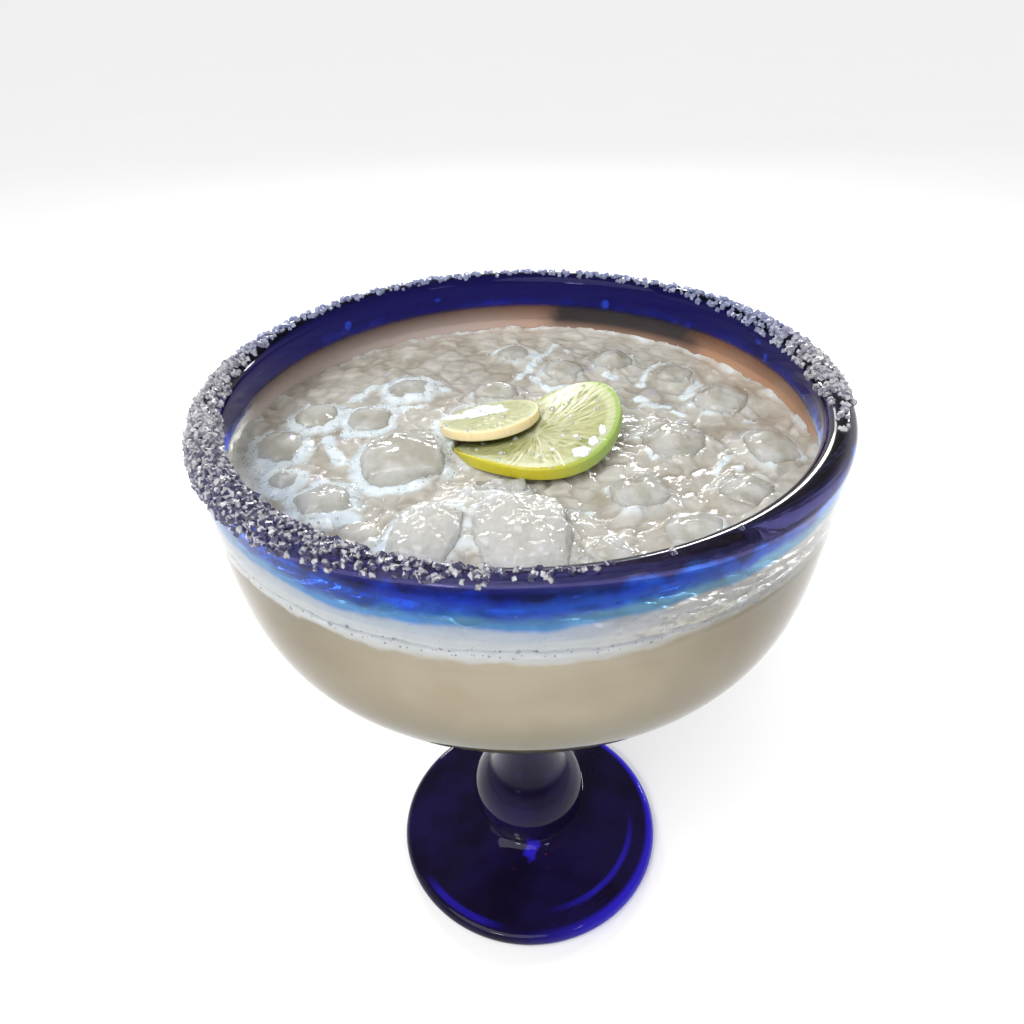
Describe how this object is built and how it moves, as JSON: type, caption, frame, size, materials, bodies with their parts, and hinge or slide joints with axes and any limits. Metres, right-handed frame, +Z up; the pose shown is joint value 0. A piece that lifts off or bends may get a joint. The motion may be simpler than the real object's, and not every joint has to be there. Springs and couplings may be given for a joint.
{
  "type": "margarita cocktail in a stemmed glass",
  "caption": "Wide hand-blown stemmed glass with a blue rolled lip, stem and foot, holding a cloudy iced margarita with lime slices and a salted rim.",
  "frame": {"origin": "middle of the foot's flat underside, on the glass's axis", "axes": "+Z up along the glass's axis; +Y away from the picture's viewer, +X to the viewer's right"},
  "size_m": [0.1335, 0.132, 0.1578],
  "materials": {
    "glass": "clear, hand-blown, cobalt blue at the lip, stem and foot",
    "drink": "cloudy, wet",
    "ice": "wet, cloudy",
    "lime": "wet, glossy",
    "salt": "coarse crystals"
  },
  "bodies": {
    "root": {"glass": "glass", "drink": "drink", "ice_01": "ice", "ice_02": "ice", "ice_03": "ice", "ice_04": "ice", "ice_05": "ice", "ice_06": "ice", "ice_07": "ice", "ice_08": "ice", "ice_09": "ice", "ice_10": "ice", "ice_11": "ice", "ice_12": "ice", "ice_13": "ice", "ice_14": "ice", "ice_15": "ice", "ice_16": "ice", "ice_17": "ice", "ice_18": "ice", "ice_19": "ice", "ice_20": "ice", "ice_21": "ice", "ice_22": "ice", "lime_wheel": "lime", "lime_slice": "lime", "salt_crust": "salt"}
  },
  "joints": []
}
